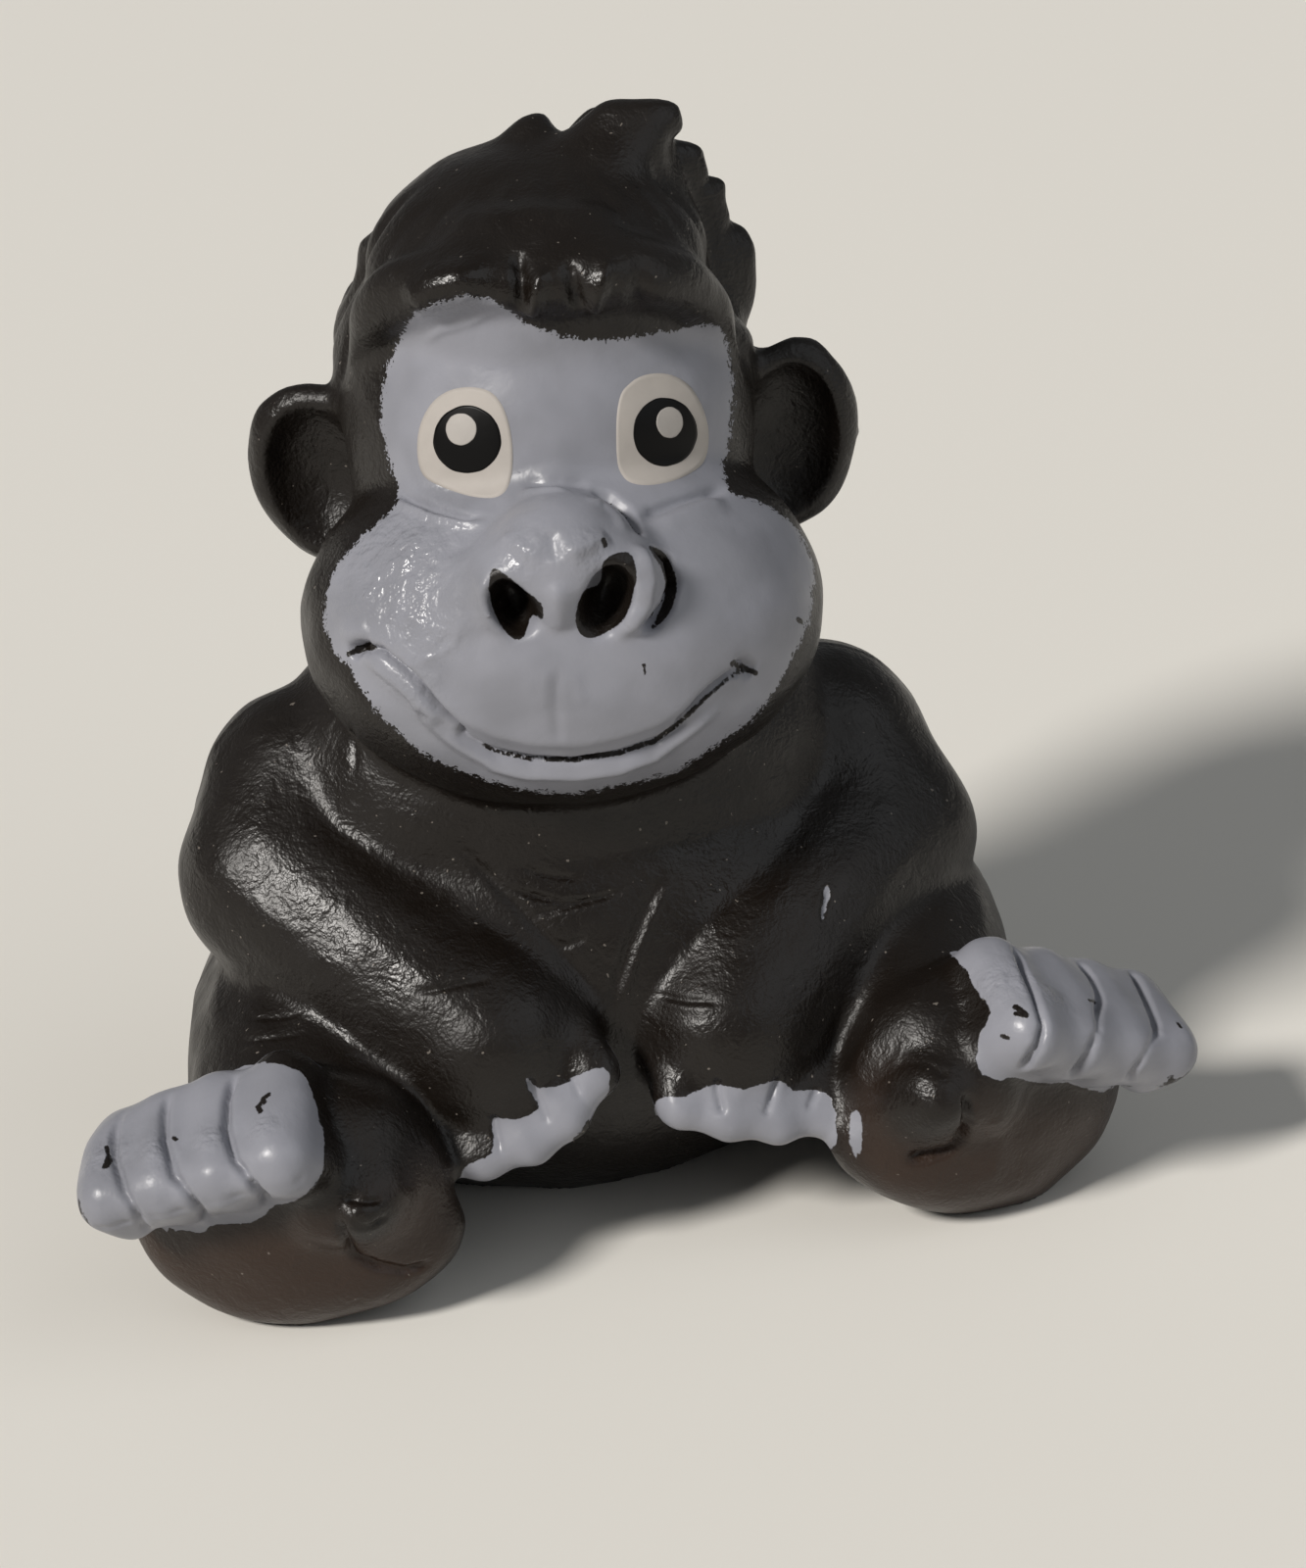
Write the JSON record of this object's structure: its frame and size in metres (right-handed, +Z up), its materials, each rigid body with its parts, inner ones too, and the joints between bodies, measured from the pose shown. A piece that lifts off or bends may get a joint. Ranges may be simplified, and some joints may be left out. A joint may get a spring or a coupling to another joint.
{
  "type": "gorilla figurine",
  "caption": "Small sitting gorilla toy with a smiling face, round ears and a tuft of swept hair, its hands hanging between its splayed feet.",
  "frame": {"origin": "under the middle of the seat, on the surface the figure sits on", "axes": "+Z up, -Y the way the chest faces, +X to the figure's left"},
  "size_m": [0.0392, 0.0246, 0.0387],
  "materials": {
    "body": "black soft PVC with a satin skin, blue-grey paint on the face, fingertips and toes, printed eyes"
  },
  "bodies": {
    "root": {"gorilla_figure": "body"}
  },
  "joints": []
}
